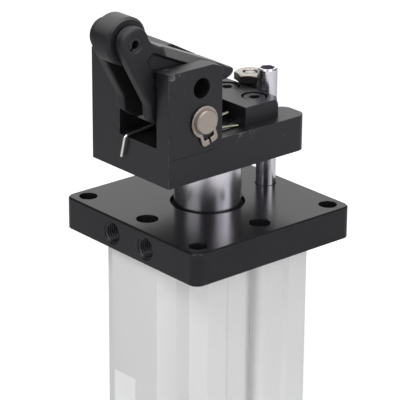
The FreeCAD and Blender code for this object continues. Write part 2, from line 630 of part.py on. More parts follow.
def make_lever_pin():
    near, far = -size.holder_near - size.pin_proud, size.holder_far + size.pin_proud
    ease = size.pin_chamfer
    face = size.pin_diameter - 2 * ease
    stem = fuse("pin_blank",
                cone("pin_near_end", face, size.pin_diameter, ease, pin_x, near, pin_z, "y"),
                cylinder("pin_stem", size.pin_diameter, far - near - 2 * ease, pin_x, near + ease,
                         pin_z, "y"),
                cone("pin_far_end", size.pin_diameter, face, ease, pin_x, far - ease, pin_z, "y"))
    thick, gap = size.circlip_thickness, size.circlip_gap
    lows = [-size.holder_near - gap - thick, size.holder_far + gap]
    core = size.pin_diameter - 2 * size.circlip_groove_depth
    grooves = [ring(f"pin_groove_{number}", size.pin_diameter + PAST, core, thick, pin_x, low, pin_z, "y")
               for number, low in enumerate(lows)]
    keep("lever_pin", cut("lever_pin", stem, *grooves))
    clips = []
    for number, low in enumerate(lows):
        lug_z = pin_z - size.circlip_lug_reach
        disc = cylinder(f"clip_disc_{number}", size.circlip_outer_diameter, thick, pin_x, low,
                        pin_z - size.circlip_shift, "y")
        lug_x = pin_x + size.circlip_lug_side
        lug_places = [(side, lug_x + size.circlip_lug_spread / 2 * side) for side in (-1, 1)]
        lugs = [cylinder(f"clip_lug_{number}_{side}", 2 * size.circlip_lug_radius, thick, x, low,
                         lug_z, "y") for side, x in lug_places]
        holes = [cylinder(f"clip_eye_{number}_{side}", 2 * size.circlip_lug_hole, thick, x, low,
                          lug_z, "y") for side, x in lug_places]
        core_hole = cylinder(f"clip_core_{number}", core + 2 * size.running_gap, thick, pin_x, low,
                             pin_z, "y")
        half_gap = size.circlip_mouth / 2
        mouth = box(f"clip_mouth_{number}", (lug_x - half_gap, low, lug_z - 2 * size.circlip_lug_radius),
                    (lug_x + half_gap, low + thick, pin_z))
        clips.append(cut(f"clip_{number}", fuse(f"clip_blank_{number}", disc, *lugs), core_hole, mouth,
                         *holes))
    keep("pin_circlips", together("pin_circlips", *clips))


def make_lever():
    half = size.lever_half_width
    hub, boss = size.hub_radius, size.boss_radius
    boss_x, boss_z = -size.boss_x, plate_top + size.boss_rise

    def at(x, rise):
        return (size.outline_unit * x, plate_top + size.outline_unit * rise)

    corners = [at(-74.4, 107.9), at(-56.5, 74.8), at(-55.8, 66.8), at(-52.6, 63.9), at(-34.5, 53),
               at(-22, 52.2), at(-14.9, 61), at(-14.4, 64.6), at(-8, 75.4), at(-4.4, 78.4), at(1.6, 78.9),
               at(4.6, 80.2), at(6.2, 82), at(6.5, 84), at(5, 85.2), at(-53.9, 110.8), at(-59.2, 117)]
    web = pad("lever_web", "XZ_Plane", corners, 2 * half, -half)
    hub_disc = cylinder("lever_hub", 2 * hub, 2 * half, pin_x, -half, pin_z, "y")
    boss_disc = cylinder("lever_boss", 2 * boss, 2 * half, boss_x, -half, boss_z, "y")
    sharp = fuse("lever_blank", web, hub_disc, boss_disc)
    blank = round_edges("lever_rounded", sharp, size.lever_edge_radius,
                        lambda edge: all(abs(abs(v.Y) - float(half)) < 0.01 for v in edge.Vertexes)
                        and abs(abs(edge.CenterOfMass.y) - float(half)) < 0.01)
    gap = half - size.arm_thickness
    fork_outline = [at(-90, 100), at(-90, 60), at(-41.5, 60), at(-40.5, 74), at(-49, 103),
                    at(-47, 130), at(-90, 130)]
    fork = pad("lever_fork", "XZ_Plane", fork_outline, 2 * gap, -gap)
    bush = size.pin_diameter + 2 * size.lever_bush_wall
    tools = [fork,
             cylinder("lever_bore", bush, 2 * half, pin_x, -half, pin_z, "y"),
             cylinder("roller_pin_hole", size.roller_pin_diameter + size.pin_hole_play, 2 * half, boss_x,
                      -half, boss_z, "y")]
    inner = size.spring_pocket_inner
    for name, low in (("near", -half), ("far", inner)):
        tools.append(cylinder(f"spring_pocket_{name}", 2 * size.spring_pocket_radius, half - inner,
                              pin_x, low, pin_z, "y"))
    recess = [at(-57.5, 101.5), at(-53, 104.8), at(-2, 82.4), at(-8, 77.5), at(-15, 67), at(-40, 67),
              at(-50, 84)]
    deep = size.side_recess_depth
    tools.append(pad("side_recess_near", "XZ_Plane", recess, deep, half - deep))
    tools.append(pad("side_recess_far", "XZ_Plane", recess, deep, -half))
    keep("lever", cut("lever", blank, *tools))
    keep("lever_bush", ring("lever_bush", bush, size.pin_diameter + 2 * size.running_gap,
                            2 * half, pin_x, -half, pin_z, "y"))
    outer_pin = size.roller_pin_diameter
    low = -half + size.roller_pin_inset
    length = -2 * low
    slot = size.roller_pin_slot / 2
    split = box("roller_pin_split", (0, 0, 0), (2 * slot, length, outer_pin))
    lean = math.sqrt(0.5)
    put(split, boss_x - (slot + outer_pin) * lean, low, boss_z + (slot - outer_pin) * lean,
        FreeCAD.Rotation(Vector(0, 1, 0), 45))
    keep("roller_pin", cut("roller_pin",
                           ring("roller_pin_wall", outer_pin, size.roller_pin_bore, length, boss_x, low,
                                boss_z, "y"),
                           split))
    width = size.roller_width
    bush_outer = outer_pin + 2 * size.roller_bush_wall
    rim = size.roller_rim_width
    tread = cylinder("roller_tread", size.roller_diameter, width - 2 * rim, boss_x, -width / 2 + rim,
                     boss_z, "y")
    shoulder = size.roller_diameter - 2 * size.roller_rim_drop
    rims = [cone("roller_rim_near", shoulder, size.roller_diameter, rim, boss_x, -width / 2, boss_z, "y"),
            cone("roller_rim_far", size.roller_diameter, shoulder, rim, boss_x, width / 2 - rim,
                 boss_z, "y")]
    keep("roller", cut("roller", fuse("roller_blank", tread, *rims),
                       cylinder("roller_bore", bush_outer, width, boss_x, -width / 2, boss_z, "y")))
    keep("roller_bush", ring("roller_bush", bush_outer, outer_pin + 2 * size.running_gap, width, boss_x,
                             -width / 2, boss_z, "y"))


def make_absorber():
    low = holder_low - size.absorber_depth
    radius, cavity = size.absorber_diameter / 2, size.absorber_cavity_diameter / 2
    neck = size.plunger_diameter / 2 + size.running_gap
    floor, roof = low + size.absorber_floor, base_top - size.absorber_roof
    keep("absorber_body", turned("absorber_body", [
        (0, low), (radius, low), (radius, base_top), (neck, base_top), (neck, roof),
        (cavity, roof), (cavity, floor), (0, floor)]))
    keep("absorber_lock_ring", ring("absorber_lock_ring", size.absorber_ring_diameter,
                                    size.absorber_diameter + 2 * size.running_gap,
                                    size.absorber_ring_thickness,
                                    z=base_top - size.absorber_ring_thickness))
    cap_top = plate_top + size.cap_rise
    cap_low = cap_top - size.cap_height
    rod_low = roof - size.plunger_travel - size.plunger_guide
    keep("absorber_plunger", cylinder("absorber_plunger", size.plunger_diameter, cap_low - rod_low,
                                      z=rod_low))
    skirt = cylinder("cap_skirt", size.cap_diameter, size.cap_height - size.cap_dome, z=cap_low)
    dome = cone("cap_dome_cone", size.cap_diameter, size.cap_diameter / 2, size.cap_dome,
                z=cap_top - size.cap_dome)
    keep("absorber_cap", fuse("absorber_cap", skirt, dome))


# Each spring is a round wire: one leg, the coil round the pin, and the other leg
def wire_body(points, radius):
    solids = []
    for start, end in zip(points, points[1:]):
        run = end - start
        solids.append(Part.makeCylinder(radius, run.Length, start, run))
        solids.append(Part.makeSphere(radius, end))
    return solids[0].fuse(solids[1:]) if len(solids) > 2 else solids[0]


def coil_body(centre, radius, wire, turns, pitch, low_y):
    """Closed turns side by side round the pin, as one turned solid."""
    reach = math.sqrt(wire ** 2 - (pitch / 2) ** 2)
    places = [low_y + pitch * turn for turn in range(turns)]

    def side(sign):
        edges = []
        for turn, y in enumerate(places):
            low, high = y - pitch / 2, y + pitch / 2
            first = Vector(radius + sign * reach, low, 0)
            over = Vector(radius + sign * wire, y, 0)
            last = Vector(radius + sign * reach, high, 0)
            bend = wire * math.sqrt(0.5)
            if turn == 0:
                first = Vector(radius, y - wire, 0)
                over = Vector(radius + sign * bend, y - bend, 0)
            elif turn == turns - 1:
                over = Vector(radius + sign * bend, y + bend, 0)
                last = Vector(radius, y + wire, 0)
            edges.append(Part.Arc(first, over, last).toShape())
        return edges

    face = Part.Face(Part.Wire(Part.__sortEdges__(side(1) + side(-1))))
    solid = face.revolve(Vector(0, 0, 0), Vector(0, 1, 0), 360)
    solid.translate(centre)
    return solid


def straight_leg(centre, radius, y, x, z):
    """The two ends of a leg that leaves the underside of the coil and runs straight to x and z."""
    run_x, run_z = x - centre.x, z - centre.z
    slope = math.atan2(run_z, run_x) + math.asin(radius / math.hypot(run_x, run_z))
    leave = Vector(centre.x + radius * math.sin(slope), y, centre.z - radius * math.cos(slope))
    return [leave, Vector(x, y, z)]


def make_return_springs():
    wire, leg = float(size.wire_diameter) / 2, float(size.leg_diameter) / 2
    centre = Vector(float(pin_x), 0, float(pin_z))
    radius, pitch, turns = float(size.coil_radius), float(size.coil_pitch), int(size.coil_turns.value)
    floor = float(base_top + size.leg_floor_gap) + leg
    lip = -float(size.holder_front + size.leg_lip_gap) - leg
    first = float(size.coil_start) + wire
    last = first + pitch * (turns - 1)
    far_y, near_y = float(size.far_leg_y), -float(size.near_leg_y)
    bottom = centre.z - radius

    # The far spring hooks over the front lip and presses the lever's tail up
    low = floor - float(size.hook_drop)
    hook = [Vector(centre.x, far_y, bottom),
            Vector(lip + float(size.hook_bend_run), far_y + float(size.hook_bend_side), floor),
            Vector(lip, far_y + float(size.hook_fall_side), floor - float(size.hook_bend_drop)),
            Vector(lip, far_y + float(size.hook_end_side), low)]
    tail = straight_leg(centre, radius, last, float(size.spring_contact_x),
                        float(plate_top + size.spring_contact_rise) - leg)
    far_coil = coil_body(centre, radius, wire, turns, pitch, first)
    far_spring = far_coil.fuse([wire_body(hook, leg), wire_body(tail, leg)])

    # The near spring rests on the base behind the pin, and its other leg reaches under the tail
    rest = [Vector(centre.x, near_y, bottom),
            Vector(float(size.near_leg_reach), near_y - float(size.near_leg_splay), floor)]
    tip = straight_leg(centre, radius, -first, float(size.near_tip_x),
                       float(plate_top + size.near_tip_rise))
    near_coil = coil_body(centre, radius, wire, turns, pitch, -last)
    near_spring = near_coil.fuse([wire_body(rest, leg), wire_body(tip, leg)])
    spring = add("Part::Feature", "return_springs")
    spring.Shape = Part.makeCompound([far_spring, near_spring])
    keep("return_springs", spring)


make_rear_cover()
make_tube()
make_flange_plate()
make_tie_bolts()
make_rod_cover()
make_guide_post()
make_rod_and_piston()
make_lever_holder()
make_stop_block()
make_lock_stud()
make_lever_pin()
make_lever()
make_absorber()
make_return_springs()
doc.recompute()

# Check every object and every node before anything is written
faults = [thing.Label for thing in doc.Objects if {"Invalid", "Error"} & set(thing.State)]
faults += [node for node, thing in nodes.items() if thing.Shape.isNull() or not thing.Shape.isValid()]
if faults:
    raise RuntimeError("faulty objects: " + ", ".join(faults))
os.makedirs("parts", exist_ok=True)
for node, thing in nodes.items():
    thing.Shape.exportStep(f"parts/{node}.step")
print(len(nodes), "nodes written")
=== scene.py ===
import json
import math

import bmesh
import bpy
from mathutils import Matrix, Vector


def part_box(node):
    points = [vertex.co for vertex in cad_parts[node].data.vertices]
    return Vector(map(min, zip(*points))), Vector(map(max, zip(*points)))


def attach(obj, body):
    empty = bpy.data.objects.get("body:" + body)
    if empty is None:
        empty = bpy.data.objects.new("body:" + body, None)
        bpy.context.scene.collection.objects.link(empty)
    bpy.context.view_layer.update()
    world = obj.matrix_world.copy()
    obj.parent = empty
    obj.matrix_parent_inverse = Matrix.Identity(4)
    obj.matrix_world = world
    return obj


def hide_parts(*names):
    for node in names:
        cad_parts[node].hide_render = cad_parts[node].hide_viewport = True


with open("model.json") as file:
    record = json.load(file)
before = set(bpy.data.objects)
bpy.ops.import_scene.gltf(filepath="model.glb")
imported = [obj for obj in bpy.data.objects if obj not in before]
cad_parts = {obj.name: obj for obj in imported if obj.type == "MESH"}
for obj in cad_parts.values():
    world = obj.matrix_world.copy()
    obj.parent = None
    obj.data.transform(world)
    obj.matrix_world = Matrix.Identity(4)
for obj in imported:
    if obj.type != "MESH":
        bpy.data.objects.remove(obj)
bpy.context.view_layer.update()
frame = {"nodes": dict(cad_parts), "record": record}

SLOT_OF = {part["node"]: part["material_slot"] for part in frame["record"]["subparts"]}

# Lengths are in millimetres wherever MM doesn't multiply them
MM = 0.001
PLATE_TOP = 157.5
PLATE_HALF = 60
BARREL_HALF = 55.75
NEAR_CHEEK = -27
PIN_CENTRE = (-26.8, 220.1)
PORT_BELOW_TOP = 10
PORT_SIDE = 15.2

# Radii of upright corners: in the solid, and as the photograph shows them
PLATE_RADII = (11, 5.8)
HOLDER_CORNER = (-52.5, 42.5)
HOLDER_RADII = (3, 0.9)

# Corners of the barrel's outline: in the solid, and as the photograph shows them
OUTLINE_MOVES = {(56.5, 21.5): (BARREL_HALF, 20.6), (47.5, 30.5): (45.5, 26.1),
                 (47.5, 37.0): (45.5, 37.2), (39.0, 45.5): (38.2, 45.5)}

# Bright dust specks: cells to the metre and the radius of a speck as a share of its cell
SPECK_SCALE = 120
SPECK_SIZE = 0.035

# Height of the grain in smooth and in coarse surfaces
FINE_GRAIN = 0.002 * MM
COARSE_GRAIN = 0.01 * MM

# The camera as it was solved on the photograph's corners: metres, degrees and pixels
CAMERA_PLACE = (-0.78825, -0.91043, 0.63278)
CAMERA_BACK = (-0.60626, -0.70550, 0.36703)
CAMERA_ROLL = 0.401
FOCAL_PIXELS = 2197.15
PHOTO_PIXELS = 400
SENSOR_WIDTH = 36

# The room that metal mirrors: level by share of a full turn, from -X by way of -Y
ROOM_STOPS = [(0.0, 0.8), (0.05, 0.8), (0.075, 0.02), (0.21, 0.02), (0.235, 1.05), (0.345, 1.05),
              (0.375, 0.08), (0.54, 0.08), (0.575, 0.53), (0.7, 0.53), (0.73, 0.08), (0.92, 0.08),
              (0.95, 0.8), (1.0, 0.8)]
ROOM_LIGHT = 2.5
SOFT_LIGHT = 0.55
FLOOR_REACH = 6
FLOOR_GLOW = 0.55


# Materials
class Tree:
    """A node tree with short calls for the nodes used here."""

    def __init__(self, tree):
        self.tree = tree

    def give(self, socket, value):
        if hasattr(value, "links"):
            self.tree.links.new(value, socket)
        else:
            socket.default_value = value

    def new(self, kind, values=None, **settings):
        node = self.tree.nodes.new(kind)
        for key, value in settings.items():
            setattr(node, key, value)
        for key, value in (values or {}).items():
            self.give(node.inputs[key], value)
        return node

    def span(self, value, low, high, to_low=0.0, to_high=1.0):
        values = {"Value": value, "From Min": low, "From Max": high, "To Min": to_low, "To Max": to_high}
        return self.new("ShaderNodeMapRange", values).outputs[0]

    def math(self, operation, first, second):
        return self.new("ShaderNodeMath", {0: first, 1: second}, operation=operation).outputs[0]


class Nodes(Tree):
    """A material's node tree."""

    def __init__(self, name):
        self.material = bpy.data.materials.new(name)
        self.material.use_nodes = True
        super().__init__(self.material.node_tree)
        self.shader = self.tree.nodes["Principled BSDF"]

    def set(self, **values):
        for key, value in values.items():
            self.give(self.shader.inputs[key.replace("_", " ")], value)

    def spot(self):
        return self.new("ShaderNodeTexCoord").outputs["Object"]

    def stretched(self, scale=(1, 1, 1)):
        return self.new("ShaderNodeMapping", {"Vector": self.spot(), "Scale": scale}).outputs[0]

    def noise(self, scale, detail=4, stretch=(1, 1, 1), rough=0.55):
        values = {"Vector": self.stretched(stretch), "Scale": scale, "Detail": detail, "Roughness": rough}
        return self.new("ShaderNodeTexNoise", values).outputs["Fac"]

    def voronoi(self, scale):
        values = {"Vector": self.stretched(), "Scale": scale}
        return self.new("ShaderNodeTexVoronoi", values).outputs["Distance"]

    def along(self, vector, axis):
        return self.new("ShaderNodeSeparateXYZ", {0: vector}).outputs[axis]

    def facing(self, kind):
        return self.new("ShaderNodeNewGeometry").outputs[kind]

    def mix(self, factor, first, second):
        values = {0: factor}
        for place, value in ((6, first), (7, second)):
            values[place] = value if hasattr(value, "links") else (*value, 1)
        return self.new("ShaderNodeMix", values, data_type="RGBA").outputs[2]

    def bump(self, height, distance, strength, radius):
        rounded = self.new("ShaderNodeBevel", {"Radius": radius}, samples=4).outputs[0]
        values = {"Height": height, "Distance": distance, "Strength": strength, "Normal": rounded}
        self.set(Normal=self.new("ShaderNodeBump", values).outputs[0])


def grey(level, tint=(1, 1, 1)):
    return tuple(level * part for part in tint)


def edge_mask(n, radius):
    """Pale along sharp edges, where a rounded normal leaves the true one: partly wear, partly a painted
    edge highlight.
    """
    rounded = n.new("ShaderNodeBevel", {"Radius": radius}, samples=6).outputs[0]
    values = {0: rounded, 1: n.facing("True Normal")}
    near = n.new("ShaderNodeVectorMath", values, operation="DOT_PRODUCT").outputs["Value"]
    return n.span(near, 0.95, 0.7)


def scuff_mask(n, scuffs):
    """Dust specks, and broken scratches inside small balls of (centre, radius)."""
    mask = n.math("LESS_THAN", n.voronoi(SPECK_SCALE), SPECK_SIZE)
    torn = n.span(n.noise(420, 8, rough=0.75), 0.53, 0.6)
    spot = n.spot()
    for centre, radius in scuffs:
        values = {0: spot, 1: tuple(part * MM for part in centre)}
        away = n.new("ShaderNodeVectorMath", values, operation="DISTANCE").outputs["Value"]
        inside = n.span(away, radius * MM, radius * MM * 0.4)
        mask = n.math("MAXIMUM", mask, n.math("MULTIPLY", inside, torn))
    return mask


def painted_top_light(n, amount, top_light_from):
    """Painted light: faces that look up are paled, fainter on the -X side of the given x."""
    top_light = n.span(n.along(n.facing("Normal"), "Z"), 0.35, 0.8, 0, amount)
    if top_light_from is not None:
        share = n.span(n.along(n.spot(), "X"), top_light_from, top_light_from + 4 * MM, 0.25, 1)
        top_light = n.math("MULTIPLY", top_light, share)
    return top_light


def anodised(name, rough, ior, level, edge_wear_and_highlight=1.0, scuffs=(), top_light=0.0, top_light_from=None, pale=0.13):
    """Black anodised aluminium: a dark clear film whose gloss grows towards grazing angles."""
    n = Nodes(name)
    cloud = n.noise(30, 3)
    grain = n.noise(1400, 3)
    tint = (1, 0.96, 1.07)
    tone = n.mix(n.span(cloud, 0.3, 0.7), grey(level, tint), grey(level * 1.25, tint))
    # Pale edges: partly wear, partly a painted highlight
    worn_and_highlit_edges = n.math("MULTIPLY", edge_mask(n, 0.6 * MM), n.span(n.noise(160, 6), 0.5, 0.62, 0, edge_wear_and_highlight))
    marks = n.math("MAXIMUM", worn_and_highlit_edges, scuff_mask(n, scuffs))
    # Painted light: faces that look up are paled towards the pale colour
    if top_light:
        marks = n.math("MAXIMUM", marks, painted_top_light(n, top_light, top_light_from))
    n.set(Base_Color=n.mix(marks, tone, grey(pale)), Metallic=0.0, IOR=ior)
    n.set(Specular_Tint=(0.94, 0.91, 1.0, 1.0))
    n.set(Roughness=n.span(grain, 0.3, 0.7, rough, rough + 0.04))
    n.bump(grain, FINE_GRAIN, 0.4, 0.5 * MM)
    return n.material


def barrel_aluminium(name):
    n = Nodes(name)
    streak = n.noise(500, 3, (1, 1, 0.004))
    cloud = n.noise(12, 2)
    tint = (1, 1, 1.01)
    n.set(Base_Color=n.mix(n.span(cloud, 0.3, 0.7), grey(0.7, tint), grey(0.73, tint)))
    n.set(Metallic=0.25, Roughness=n.span(streak, 0.3, 0.7, 0.4, 0.46))
    n.bump(streak, FINE_GRAIN, 0.4, 0.4 * MM)
    return n.material


def chrome_steel(name, rough):
    n = Nodes(name)
    polish = n.noise(900, 2, (1, 1, 8))
    n.set(Base_Color=(0.77, 0.75, 0.81, 1), Metallic=1.0)
    n.set(Roughness=n.span(polish, 0.3, 0.7, rough, rough + 0.04))
    return n.material


def metal(name, colour, rough, scale=600, spots=0.15):
    n = Nodes(name)
    grain = n.noise(scale)
    dark = tuple(part * (1 - spots) for part in colour)
    n.set(Base_Color=n.mix(n.span(grain, 0.35, 0.65), dark, colour), Metallic=1.0)
    n.set(Roughness=n.span(grain, 0.3, 0.7, rough, rough + 0.1))
    n.bump(grain, COARSE_GRAIN, 0.4, 0.3 * MM)
    return n.material


def moulded(name, colour, rough, height=COARSE_GRAIN, scale=900, contrast=1.5):
    n = Nodes(name)
    grain = n.noise(scale)
    light = tuple(part * contrast for part in colour)
    n.set(Base_Color=n.mix(n.span(grain, 0.4, 0.65), colour, light), Metallic=0.0)
    n.set(Roughness=n.span(grain, 0.3, 0.7, rough, rough + 0.12))
    n.bump(grain, height, 0.5, 0.4 * MM)
    return n.material


def sprung_wire(name):
    """Bright wire whose legs behind the holder, on the +X side of x = -22 mm, are coloured a dull dark
    green.
    """
    n = Nodes(name)
    grain = n.noise(900)
    dull = n.span(n.along(n.spot(), "X"), -30 * MM, -22 * MM)
    bright = n.mix(n.span(grain, 0.35, 0.65), (0.72, 0.73, 0.7), (0.8, 0.81, 0.78))
    n.set(Base_Color=n.mix(dull, bright, (0.2, 0.21, 0.16)), Metallic=1.0)
    n.set(Roughness=n.span(grain, 0.3, 0.7, 0.3, 0.4))
    n.bump(grain, COARSE_GRAIN, 0.4, 0.3 * MM)
    return n.material


def nut_painted_shade(name):
    """A nut whose sides carry painted shade, near black, while its top is bright."""
    n = Nodes(name)
    grain = n.noise(900)
    up_facing_share = n.span(n.along(n.facing("True Normal"), "Z"), 0.3, 0.6)
    bright = n.mix(n.span(grain, 0.3, 0.7), (0.48, 0.43, 0.39), (0.56, 0.51, 0.47))
    # Painted shade: faces that don't look up are turned near black
    n.set(Base_Color=n.mix(up_facing_share, (0.02, 0.017, 0.015), bright), Metallic=n.span(up_facing_share, 0, 1, 0.3, 1.0))
    n.set(Roughness=n.span(grain, 0.3, 0.7, 0.36, 0.46))
    n.bump(grain, COARSE_GRAIN, 0.3, 0.3 * MM)
    return n.material


HOLDER_SCUFFS = [((-50.5, -27, 250.8), 5), ((-42, -27, 252.3), 4.5), ((-47, -20, 252.5), 5),
                 ((-10, -25.5, 206.8), 4), ((0, -25.5, 206.8), 6), ((11, -26, 206.8), 4)]

MATERIALS = {
    "anodised_grey": anodised("anodised_grey", 0.34, 1.45, 0.006, scuffs=HOLDER_SCUFFS),
    "barrel_aluminium": barrel_aluminium("barrel_aluminium"),
    "chrome_steel": chrome_steel("chrome_steel", 0.13),
    "nickel_steel": metal("nickel_steel", (0.39, 0.345, 0.315), 0.42, 900, 0.06),
    "zinc_steel": metal("zinc_steel", (0.5, 0.51, 0.52), 0.3),
    "spring_steel": sprung_wire("sprung_wire"),
    "bronze": metal("bronze", (0.55, 0.38, 0.2), 0.35),
    "black_steel": anodised("black_steel", 0.4, 1.47, 0.0075),
    "black_plastic": moulded("black_plastic", (0.012, 0.012, 0.013), 0.35),
    "bearing_plastic": moulded("bearing_plastic", (0.08, 0.07, 0.06), 0.5),
    "black_rubber": moulded("black_rubber", (0.014, 0.014, 0.014), 0.6),
}

# Finishes of single pieces that differ from their slot's material
GLOSSY_PLATE = anodised("anodised_gloss", 0.2, 1.335, 0.009, edge_wear_and_highlight=0.7)
# The lever and roller carry painted light on their upward faces
CAST_LEVER = anodised("cast_black", 0.46, 1.43, 0.005, top_light=1.0, top_light_from=-53 * MM, pale=0.22)
ROLLER_BLACK = anodised("roller_black", 0.46, 1.43, 0.005, top_light=0.8)
ROD_CHROME = chrome_steel("rod_chrome", 0.23)
POST_CHROME = chrome_steel("post_chrome", 0.2)
LABEL_WHITE = moulded("label_white", (0.82, 0.82, 0.83), 0.5, height=0.001 * MM, scale=40, contrast=1.03)
THREAD_BLACK = anodised("thread_black", 0.25, 1.5, 0.006, edge_wear_and_highlight=0.0)
# Black standing in for the shade in the cheek's joint line
SEAM_PAINTED_SHADE = moulded("seam_painted_shade", (0.003, 0.003, 0.003), 0.8)
OWN_FINISH = {"flange_plate": GLOSSY_PLATE, "roller": ROLLER_BLACK, "piston_rod": ROD_CHROME,
              "guide_post": POST_CHROME}


def dress_nodes():
    for node, thing in frame["nodes"].items():
        thing.data.materials.clear()
        thing.data.materials.append(OWN_FINISH.get(node, MATERIALS[SLOT_OF[node]]))


dress_nodes()


# Pieces made here
def piece(name, mesh, material, body):
    thing = bpy.data.objects.new(name, mesh)
    bpy.context.scene.collection.objects.link(thing)
    mesh.materials.append(material)
    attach(thing, body)
    return thing


def skin(bm, rings):
    """Faces from each closed ring of points to the next."""
    for here, there in zip(rings, rings[1:]):
        for index in range(len(here)):
            after = (index + 1) % len(here)
            bm.faces.new((here[index], there[index], there[after], here[after]))


def slab(bm, points, axis, place):
    """A flat outline pushed along an axis until its second face is at the given place."""
    face = bm.faces.new([bm.verts.new(point) for point in points])
    for thing in bmesh.ops.extrude_face_region(bm, geom=[face])["geom"]:
        if isinstance(thing, bmesh.types.BMVert):
            thing.co[axis] = place


def finished_mesh(name, bm):
    bmesh.ops.recalc_face_normals(bm, faces=bm.faces)
    mesh = bpy.data.meshes.new(name)
    bm.to_mesh(mesh)
    bm.free()
    return mesh


def smoothed(mesh, angle=30):
    mesh.shade_smooth()
    mesh.set_sharp_from_angle(angle=math.radians(angle))
    return mesh


def turned_mesh(name, profile, centre, axis, steps=64):
    """Turns (radius, distance) points round an axis through the centre."""
    spin = Vector((0, 0, 1)).rotation_difference(Vector(axis)).to_matrix()
    bm = bmesh.new()
    rings = []
    for step in range(steps):
        angle = 2 * math.pi * step / steps
        ring = [Vector((radius * math.cos(angle), radius * math.sin(angle), along))
                for radius, along in profile]
        rings.append([bm.verts.new(Vector(centre) + spin @ point) for point in ring])
    skin(bm, rings + rings[:1])
    return finished_mesh(name, bm)


def port_thread(name, y):
    """A sleeve of thread ridges inside a port."""
    major, minor, pitch, turns = 6.55 * MM, 5.6 * MM, 1.5 * MM, 8
    first = 0.6 * MM
    profile = []
    for turn in range(turns):
        low = first + turn * pitch
        profile += [(major, low), (minor, low + pitch * 0.45), (minor, low + pitch * 0.6)]
    profile.append((major, first + turns * pitch))
    centre = Vector((-PLATE_HALF, y, PLATE_TOP - PORT_BELOW_TOP)) * MM
    piece(name, turned_mesh(name, profile, centre, (1, 0, 0)), THREAD_BLACK, "cylinder")


port_thread("port_thread_front", PORT_SIDE)
port_thread("port_thread_rear", -PORT_SIDE)


def baked(thing):
    """The thing's mesh with its modifiers worked in."""
    bpy.context.view_layer.update()
    return bpy.data.meshes.new_from_object(thing.evaluated_get(bpy.context.evaluated_depsgraph_get()))


def reshaped(node, move):
    """A copy of a node's mesh with its points moved and the direction of its faces kept."""
    still = 0.9998
    mesh = frame["nodes"][node].data.copy()
    mesh.name = node + "_formed"
    mesh.materials.clear()
    normals = [tuple(corner.vector) for corner in mesh.corner_normals]
    before = [polygon.normal.copy() for polygon in mesh.polygons]
    for vertex in mesh.vertices:
        move(vertex)
    mesh.update()
    for polygon, facing in zip(mesh.polygons, before):
        if polygon.normal.dot(facing) < still:
            for index in polygon.loop_indices:
                normals[index] = tuple(polygon.normal)
    mesh.normals_split_custom_set(normals)
    return mesh


def tightened(corner, old, new):
    """Gives a rounded upright corner of an outline a smaller radius."""
    side = Vector((math.copysign(1, corner[0]), math.copysign(1, corner[1])))
    centre = (Vector(corner) - side * old) * MM
    moved = (Vector(corner) - side * new) * MM
    slack, nearest = 0.01 * MM, (old - 1) * MM

    def move(vertex):
        out = vertex.co.xy - centre
        reach = out.length
        if min(out.x * side.x, out.y * side.y) > -slack and reach > nearest:
            vertex.co.xy = moved + out / reach * (reach - (old - new) * MM)
    return move


def make_plate():
    corners = [tightened((PLATE_HALF * a, PLATE_HALF * b), *PLATE_RADII) for a in (-1, 1) for b in (-1, 1)]

    def move(vertex):
        corners[(vertex.co.x > 0) * 2 + (vertex.co.y > 0)](vertex)
    mesh = reshaped("flange_plate", move)
    thing = piece("flange_plate_formed", mesh, GLOSSY_PLATE, "cylinder")
    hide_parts("flange_plate")


def make_holder():
    mesh = reshaped("lever_holder", tightened(HOLDER_CORNER, *HOLDER_RADII))
    thing = piece("lever_holder_formed", mesh, MATERIALS["anodised_grey"], "head")
    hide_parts("lever_holder")


def slimmed(vertex):
    """Moves the corners of the barrel's outline, alike on all four sides."""
    slack = 0.05 * MM
    for old, new in OUTLINE_MOVES.items():
        off = (abs(vertex.co.x) - old[0] * MM, abs(vertex.co.y) - old[1] * MM)
        if max(abs(off[0]), abs(off[1])) < slack:
            vertex.co.x = math.copysign(new[0] * MM, vertex.co.x)
            vertex.co.y = math.copysign(new[1] * MM, vertex.co.y)
            break


def make_barrel():
    for node in ("tube", "rear_cover"):
        slot = SLOT_OF[node]
        thing = piece(node + "_formed", reshaped(node, slimmed), MATERIALS[slot], "cylinder")
        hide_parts(node)


def shoulder_off(mesh):
    """Bevels the long upper edges of the lever, from its boss down to its tail."""
    start, end = Vector((-53, PLATE_TOP + 104.8)) * MM, Vector((-2, PLATE_TOP + 82.4)) * MM
    boss_end, boss_fade, tail_fade, slope = -48 * MM, 5 * MM, 6 * MM, 0.8
    along = (end - start).normalized()
    up = Vector((-along.y, along.x))
    half = max(abs(vertex.co.y) for vertex in mesh.vertices)
    for vertex in mesh.vertices:
        above = (vertex.co.xz - start).dot(up)
        x = vertex.co.x
        share = min(1, max(0, (x - boss_end) / boss_fade), max(0, -x / tail_fade))
        limit = half - slope * above * share
        if above > 0 and share > 0 and abs(vertex.co.y) > limit:
            vertex.co.y = math.copysign(limit, vertex.co.y)


def add_smooth(thing, turns):
    ease = thing.modifiers.new("ease", "SMOOTH")
    ease.factor = 0.5
    ease.iterations = turns


def make_lever():
    """The cast lever: the frame's shape with softly rounded edges."""
    bm = bmesh.new()
    bm.from_mesh(frame["nodes"]["lever"].data)
    bmesh.ops.remove_doubles(bm, verts=bm.verts, dist=0.001 * MM)
    mesh = bpy.data.meshes.new("lever_blank")
    bm.to_mesh(mesh)
    bm.free()
    blank = bpy.data.objects.new("lever_blank", mesh)
    bpy.context.scene.collection.objects.link(blank)
    grid = blank.modifiers.new("grid", "REMESH")
    grid.mode = "VOXEL"
    grid.voxel_size = 0.5 * MM
    add_smooth(blank, 8)
    blank.data = baked(blank)
    blank.modifiers.clear()
    shoulder_off(blank.data)
    add_smooth(blank, 3)
    soft = baked(blank)
    bpy.data.objects.remove(blank)
    soft.materials.clear()
    soft.shade_smooth()
    thing = piece("lever_cast", soft, CAST_LEVER, "lever_arm")
    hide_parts("lever")


